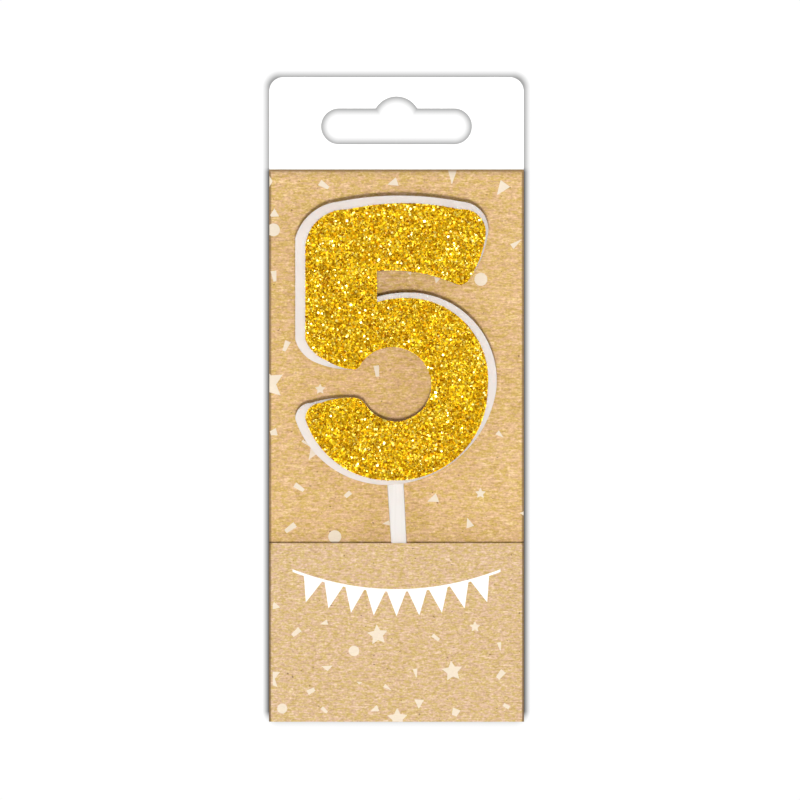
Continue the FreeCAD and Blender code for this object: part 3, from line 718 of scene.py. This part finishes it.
# Print on the kraft, in mm from the card's middle and foot. A shard is a sliver: the middle of its base,
# the way it points in degrees, its length, and its width at the base and at the tip.
linerShards = [
    (-27, 114.5, 0, 0.7, 2.4, 0), (-16.3, 114.25, -32, 2.2, 1.35, 0.6), (0.15, 114.45, 198, 2.15, 1.9, 0),
    (-25.4, 107.9, 210, 1.5, 2, 0.3), (-26.1, 95.5, -82, 2.25, 1.25, 0.55), (11.85, 117, -92, 3.1, 1.9, 0),
    (23.1, 114.05, 234, 3, 2.5, 0), (24.45, 100.65, 36, 2.45, 1.2, 0), (8.15, 93.6, 15, 1.15, 1.6, 0),
    (2.8, 95.25, -80, 0.65, 0.9, 0), (-23, 80.55, 246, 2.25, 1.25, 0.6), (-4.3, 75.4, -83, 2.35, 1.2, 0.65),
    (-25.4, 61.4, 195, 1.4, 1.6, 0.8), (-20, 59.5, -36, 2.4, 0.6, 0), (-18.4, 56.8, -10, 1.35, 2.8, 0),
    (-21.6, 50.15, -33, 2.3, 1.15, 0.65), (-9.75, 48.55, 220, 1.5, 0.95, 0.8),
    (-21.5, 41.7, 216, 2.55, 1.2, 0.8), (-1.5, 42.05, 188, 1.45, 1.1, 0), (21.35, 61.25, -40, 1.65, 1.15, 0),
    (8.7, 47.4, 201, 2.25, 2, 0), (15.65, 41.15, 108, 2.05, 1.7, 0), (27, 44.05, 175, 0.8, 0.9, 0),
]
pocketShards = [
    (-25.6, 23.95, 103, 1.4, 2.05, 0), (-20.45, 19.6, 221, 2.1, 1.2, 0.65), (-14.6, 21.1, 197, 1.6, 1.2, 0),
    (-14.7, 11.85, -87, 1.1, 2.4, 0), (-17.35, 6.9, 207, 1.65, 0.8, 1), (-7.85, 8.45, -95, 0.5, 1.3, 0),
    (-2.6, 7.7, -34, 1.8, 0.85, 0), (-15.85, 3, -42, 1.55, 0.8, 0.5), (-3.9, 2.9, 203, 1.75, 1.4, 0),
    (7.6, 18.35, -37, 1.75, 0.8, 0.6), (21.7, 16.8, -80, 1.7, 0.95, 0.1), (22.65, 10.75, 231, 2, 1.3, 0.85),
    (3.9, 11.2, -80, 1.8, 1, 0.1), (4.8, 4.7, -93, 1.9, 2.05, 0), (12.75, 2.7, 249, 1.5, 1.7, 1),
    (22.65, 3.65, -30, 1.4, 0.75, 0.7),
]
# Dots have a middle and a radius. Stars have a middle, a reach and the way one point looks.
linerDots = [(-26.1, 104.2, 1.36), (17.9, 93.7, 1.38), (-13.1, 39.1, 1.38)]
pocketDots = [(-9, 15, 1.1), (-24.2, 2.8, 1.06)]
linerStars = [(-27.4, 71.6, 3.76, 30), (-16.2, 70.4, 1.19, 90), (17.8, 48.3, 1.2, 90)]
pocketStars = [
    (-4, 18.4, 2.25, 96), (-27.1, 9.4, 2.76, 25), (0.2, 0.7, 2.25, 92), (16.6, 20.1, 1.2, 90),
    (11.8, 10.7, 2.25, 97),
]
ink = {
    "thick": 0.03 * mm, "sunk": 0.02 * mm, "keepIn": 0.05 * mm, "fold": 0.8 * mm, "merge": 0.004 * mm,
    "dotCorners": 44, "starCorners": 10, "starWaist": 0.5, "tipLeast": 0.08, "bump": 0.03 * mm,
    "confetti": (0.77, 0.685, 0.56), "linerCover": 0.86, "pocketCover": 0.80,
    "bunting": (0.95, 0.93, 0.90), "buntingCover": 0.97,
}


def shardOutline(x, up, way, length, baseWidth, tipWidth):
    # Four corners: half a width each side of the base's middle, and the same at the tip.
    a = math.radians(way)
    along, across = np.array([math.cos(a), math.sin(a)]), np.array([-math.sin(a), math.cos(a)])
    reach = np.array([0, 0, length, length])[:, None] * along
    half = np.array([-baseWidth, baseWidth, tipWidth, -tipWidth])[:, None] / 2
    least = np.array([0, 0, ink["tipLeast"], -ink["tipLeast"]])[:, None] / 2
    return np.array([x, up]) + reach + (half + least) * across


def ringOutline(x, up, reach, turn, waist, corners):
    # Corners evenly round a middle, every other one drawn in to the waist.
    angle = math.radians(turn) + np.arange(corners) * 2 * math.pi / corners
    out = reach * np.where(np.arange(corners) % 2 == 0, 1.0, waist)
    return np.array([x, up]) + np.column_stack([np.cos(angle), np.sin(angle)]) * out[:, None]


def trimmed(outline, axis, limit, side):
    # The part of an outline on one side of a straight line, cut where its edges cross the line.
    after = np.roll(outline, -1, axis=0)
    near, far = side * (outline[:, axis] - limit), side * (after[:, axis] - limit)
    apart = np.where(near == far, 1.0, near - far)
    cuts = outline + (after - outline) * (near / apart)[:, None]
    keep = np.column_stack([near >= 0, (near >= 0) != (far >= 0)]).ravel()
    return np.stack([outline, cuts], axis=1).reshape(-1, 2)[keep]


def printPiece(name, outlines, faceY, low, high):
    # Thin ink shapes: each outline is kept on the board and given a front, a back and sides.
    points, faces, start = [], [], 0
    for outline in outlines:
        for axis in (0, 1):
            outline = trimmed(outline, axis, low[axis], 1)
            outline = trimmed(outline, axis, high[axis], -1)
        size = len(outline)
        for y in (faceY - ink["thick"], faceY + ink["sunk"]):
            points.append(standing(outline, y))
        here = np.arange(size) + start
        beside = np.roll(here, -1)
        faces += [here.tolist(), (here[::-1] + size).tolist()]
        faces += np.column_stack([here, here + size, beside + size, beside]).tolist()
        start += size * 2
    return closeUp(piece(name, np.concatenate(points), faces, smooth=False), ink["merge"])


def confettiOutlines(shards, dots, stars):
    # Every mark in metres, up from the card's foot.
    outlines = [shardOutline(*shard) for shard in shards]
    outlines += [ringOutline(x, up, r, 0, 1.0, ink["dotCorners"]) for x, up, r in dots]
    outlines += [ringOutline(*star, ink["starWaist"], ink["starCorners"]) for star in stars]
    return [outline * mm + np.array([0, cardFoot]) for outline in outlines]


def inkMaterial(name, tint, cover, shift, paintedShadeTop=None):
    # White ink that the kraft's fibres show through a little, given the board's painted shade under its top
    # edge.
    shader = Shader(name, Roughness=0.6)
    base, fibres = kraftColour(shader, shift)
    base = shader.mix(cover, base, tint)
    # Painted shade under the liner's top edge, the same as on the board.
    if paintedShadeTop is not None:
        base = shader.mix(topPaintedShade(shader, paintedShadeTop), base, kraft["shadeBrown"])
    shader.colour(base)
    shader.rough(shader.band(fibres, 0.3, 0.7, 0.7, 0.55))
    shader.bump(fibres, ink["bump"])
    return shader.material


def boardLimits(low, high, side):
    # The flat area that takes print, a little in from the top and foot and from the sides.
    keep = ink["keepIn"]
    return np.array([low.x + side, low.z + keep]), np.array([high.x - side, high.z - keep])


linerShift, pocketShift = (0.0, 0.0, 0.0), (3.7, 0.0, 8.1)
linerArea = boardLimits(linerLow, linerHigh, ink["keepIn"])
pocketArea = boardLimits(pocketLow, pocketHigh, ink["fold"])
linerMarks = confettiOutlines(linerShards, linerDots, linerStars)
pocketMarks = confettiOutlines(pocketShards, pocketDots, pocketStars)
linerPrint = printPiece("linerConfetti", linerMarks, linerLow.y, *linerArea)
pocketPrint = printPiece("pocketConfetti", pocketMarks, pocketLow.y, *pocketArea)

garland = {
    "across": 44.0 * mm, "up": 32.0 * mm, "sag": 4.2 * mm, "string": 0.55 * mm, "steps": 60,
    "flags": 9, "flagWidth": 4.0 * mm, "flagDrop": 5.2 * mm, "overlap": 0.9,
}


def stringPlaces(t):
    # Points of the string, a parabola that sags from its two ends at t of -1 and 1.
    up = cardFoot + garland["up"] - garland["sag"] * (1 - t ** 2)
    return np.stack([t * garland["across"] / 2, up], axis=-1)


def garlandOutlines():
    # The string, with pennants square to it hung at even steps.
    line = stringPlaces(np.linspace(-1, 1, garland["steps"]))
    half, wide = garland["string"] / 2, garland["flagWidth"] / 2
    outlines = [np.concatenate([line + (0, half), (line - (0, half))[::-1]])]
    for t in np.linspace(-1, 1, garland["flags"] + 2)[1:-1]:
        slope = 2 * garland["sag"] * t / (garland["across"] / 2)
        along = np.array([1.0, slope]) / math.hypot(1.0, slope)
        down = np.array([along[1], -along[0]])
        top = stringPlaces(t) + down * half * garland["overlap"]
        outlines.append(np.array([top - along * wide, top + along * wide, top + down * garland["flagDrop"]]))
    return outlines


pocketGarland = printPiece("pocketGarland", garlandOutlines(), pocketLow.y, *pocketArea)
linerInk = inkMaterial("confettiInkLiner", ink["confetti"], ink["linerCover"], linerShift, linerHigh.z)
dress(linerPrint, linerInk)
dress(pocketPrint, inkMaterial("confettiInkPocket", ink["confetti"], ink["pocketCover"], pocketShift))
dress(pocketGarland, inkMaterial("garlandInk", ink["bunting"], ink["buntingCover"], pocketShift))
for printed in (linerPrint, pocketPrint, pocketGarland):
    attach(printed, "pack")
print("stage: print")

# Pads, glue and the nodes that keep their shapes.

# The pores' grey is painted shade for the hollow of each pore.
foam = {"poreShade": (0.62, 0.61, 0.59), "skin": (0.88, 0.875, 0.86), "cells": (2600.0,) * 3, "bump": 0.08 * mm}
glue = {
    "thin": (0.70, 0.60, 0.42), "thick": (0.83, 0.76, 0.62), "drag": (700.0, 700.0, 160.0), "bump": 0.03 * mm,
}


def foamMaterial():
    # White closed-cell foam: small round pores of uneven size, each painted darker at its middle as the shade
    # inside its hollow.
    shader = Shader("padFoam", Roughness=0.8)
    cells = shader.set(shader.add("ShaderNodeTexVoronoi"), Scale=1.0)
    shader.link(shader.mapped(foam["cells"]), cells.inputs["Vector"])
    shader.colour(shader.ramp(cells.outputs["Distance"], (0.1, foam["poreShade"]), (0.6, foam["skin"])))
    shader.bump(cells.outputs["Distance"], foam["bump"])
    return shader.material


def glueMaterial():
    # Dried clear glue, yellowed and uneven.
    shader = Shader("driedGlue", Roughness=0.3)
    drag = shader.noise(shader.mapped(glue["drag"]), detail=3.0)
    shader.colour(shader.ramp(drag, (0.3, glue["thin"]), (0.7, glue["thick"])))
    shader.rough(shader.band(drag, 0.3, 0.7, 0.2, 0.42))
    shader.bump(drag, glue["bump"])
    return shader.material


dress(nodes["hang_card"], whiteBoard())
dress(nodes["kraft_liner"], kraftBoard("kraftLiner", linerShift, linerLow, linerHigh, paintedShadeTop=True))
dress(nodes["kraft_pocket"], kraftBoard("kraftPocket", pocketShift, pocketLow, pocketHigh, kraft["pocketTint"]))
dress(nodes["foam_pads"], foamMaterial())
dress(nodes["pocket_glue"], glueMaterial())
dress(nodes["wick_core"], cotton)

# Stage, lights and camera.

studio = {
    "floorDrop": 60 * mm, "floorHalf": 6.0, "wallGap": 0.3 * mm, "wallHalf": 3.0, "wallTop": 2.0, "world": 0.21,
    # Each light's place from the card's middle, its size and its power.
    "lights": {
        "key": ((0.0, -1.3, -0.095), 0.06, 12.0),
        "left": ((-1.1, -0.9, 0.2), 0.6, 1.8), "right": ((1.1, -0.9, 0.2), 0.6, 1.8),
        "above": ((0.0, -0.9, 1.1), 0.6, 1.8), "below": ((0.0, -0.9, -1.1), 0.6, 1.26),
        "rear": ((0.3, 1.3, 0.8), 0.6, 15.0),
    },
    # Painted shadow on the wall: its reach, fall-off and corner, and how dark it is by the foot, beside the
    # kraft and beside the header.
    "halo": 1.5 * mm, "haloFade": 1.25, "haloCorner": 2.2 * mm,
    "haloFoot": 0.25, "haloKraft": 0.97, "haloHeader": 0.62, "blend": 0.5 * mm, "footBlend": 2.0 * mm,
    "glow": (1.02, 1.02, 1.02),
    "slotWidth": 32.0 * mm, "slotBand": 7.6 * mm, "crownRadius": 5.08 * mm, "crownRise": 2.54 * mm,
    "lens": 500.0, "across": 169.76 * mm, "aimX": 0.74 * mm, "aimDown": 0.2 * mm,
}
middle = (cardLow + cardHigh) / 2


def makeFloor():
    # A wide square well below the card's foot.
    z, half = cardFoot - studio["floorDrop"], studio["floorHalf"]
    return piece("floor", [(-half, -half, z), (half, -half, z), (half, half, z), (-half, half, z)], [range(4)])


def makeWall():
    # Seen and shaded only on the side that looks at the camera, so it hides nothing from behind.
    y = cardHigh.y + studio["wallGap"]
    low, high, half = cardFoot - studio["floorDrop"], studio["wallTop"], studio["wallHalf"]
    wall = piece("wall", [(-half, y, low), (half, y, low), (half, y, high), (-half, y, high)], [range(4)])
    wall.visible_shadow = False
    wall.visible_diffuse = False
    wall.visible_glossy = False
    return wall


def floorMaterial():
    # Smooth pale board with the faintest mottling.
    shader = Shader("paleFloor", Roughness=0.9)
    mottling = shader.noise(shader.mapped((3.0,) * 3))
    shader.colour(shader.ramp(mottling, (0.3, (0.90,) * 3), (0.7, (0.94,) * 3)))
    return shader.material


def overBy(shader, axis, centre, half):
    # How far a place stands past half a size from a centre, along one axis, and 0 within it.
    apart = shader.math("ABSOLUTE", shader.math("SUBTRACT", shader.axis(axis), centre))
    return shader.math("MAXIMUM", shader.math("SUBTRACT", apart, half), 0.0)


def reachOf(shader, first, second):
    # Length of the slanting side over two square ones.
    squares = [shader.math("MULTIPLY", side, side) for side in (first, second)]
    return shader.math("SQRT", shader.math("ADD", *squares))


def wallMaterial():
    # A white backdrop that glows evenly, with a painted soft contact shadow round the card and inside its slot.
    # The painted shadow fades with the distance from the card's rounded box, and in the slot from its own edge.
    # From behind it is clear.
    shader = Shader("paleWall")
    half, corner = (cardHigh - cardLow) / 2, studio["haloCorner"]
    past = [overBy(shader, axis, middle[axis], half[axis] - corner) for axis in (0, 2)]
    out = reachOf(shader, *past)
    height, kraftShade, headerShade = shader.axis(2), studio["haloKraft"], studio["haloHeader"]
    blend, footEnd = studio["blend"], cardLow.z + studio["footBlend"]
    foot = shader.band(height, cardLow.z - blend, footEnd, studio["haloFoot"], kraftShade)
    top = shader.band(height, linerHigh.z - blend, linerHigh.z + blend, kraftShade, headerShade)
    fade = shader.band(out, corner, corner + studio["halo"], 1.0, 0.0)
    beside = shader.math("POWER", fade, studio["haloFade"])
    around = shader.math("MULTIPLY", beside, shader.math("MINIMUM", foot, top))

    # The slot's crown tops out at the frame's origin. Band and crown each measure from their own middle.
    end, radius, rise = studio["slotBand"] / 2, studio["crownRadius"], studio["crownRise"]
    pastEnd = overBy(shader, 0, 0.0, studio["slotWidth"] / 2 - end)
    bandOut = reachOf(shader, pastEnd, overBy(shader, 2, -rise - end, 0.0))
    crownOut = reachOf(shader, overBy(shader, 0, 0.0, 0.0), overBy(shader, 2, -radius, 0.0))
    deep = [shader.math("SUBTRACT", size, far) for size, far in ((end, bandOut), (radius, crownOut))]
    fade = shader.band(shader.math("MAXIMUM", *deep), 0.0, studio["halo"], 1.0, 0.0)
    inSlot = shader.math("MULTIPLY", shader.math("POWER", fade, studio["haloFade"]), headerShade)
    within = shader.math("LESS_THAN", out, corner - studio["halo"])
    shade = shader.mix(within, around, inSlot)

    # The even glow is darkened towards black by the painted shadow.
    glow = shader.add("ShaderNodeEmission")
    shader.link(shader.mix(shade, studio["glow"], (0.0, 0.0, 0.0)), glow.inputs["Color"])
    sides = shader.add("ShaderNodeMixShader")
    shader.link(shader.add("ShaderNodeNewGeometry").outputs["Backfacing"], sides.inputs[0])
    shader.link(glow.outputs[0], sides.inputs[1])
    shader.link(shader.add("ShaderNodeBsdfTransparent").outputs[0], sides.inputs[2])
    shader.link(sides.outputs[0], shader.tree.nodes["Material Output"].inputs["Surface"])
    return shader.material


def areaLight(name, offset, size, power):
    # A square light that looks at the card's middle.
    light = bpy.data.lights.new(name, "AREA")
    light.size = size
    light.energy = power
    obj = bpy.data.objects.new(name, light)
    obj.location = (offset[0], offset[1], middle.z + offset[2])
    obj.rotation_euler = (middle - obj.location).to_track_quat("-Z", "Y").to_euler()
    bpy.context.scene.collection.objects.link(obj)


floor, wall = makeFloor(), makeWall()
dress(floor, floorMaterial())
dress(wall, wallMaterial())

for name, settings in studio["lights"].items():
    areaLight(name, *settings)

world = bpy.data.worlds.new("softRoom")
world.use_nodes = True
sky = world.node_tree.nodes["Background"].inputs
sky["Color"].default_value = (1, 1, 1, 1)
sky["Strength"].default_value = studio["world"]
bpy.context.scene.world = world
bpy.context.scene.view_settings.view_transform = "Standard"

camera = bpy.data.cameras.new("camera")
camera.lens = studio["lens"]
camera.clip_end = 50
cameraObj = bpy.data.objects.new("camera", camera)
away = studio["across"] * camera.lens / camera.sensor_width
cameraObj.location = (middle.x + studio["aimX"], -away, middle.z - studio["aimDown"])
cameraObj.rotation_euler = (math.pi / 2, 0, 0)
bpy.context.scene.collection.objects.link(cameraObj)
bpy.context.scene.camera = cameraObj
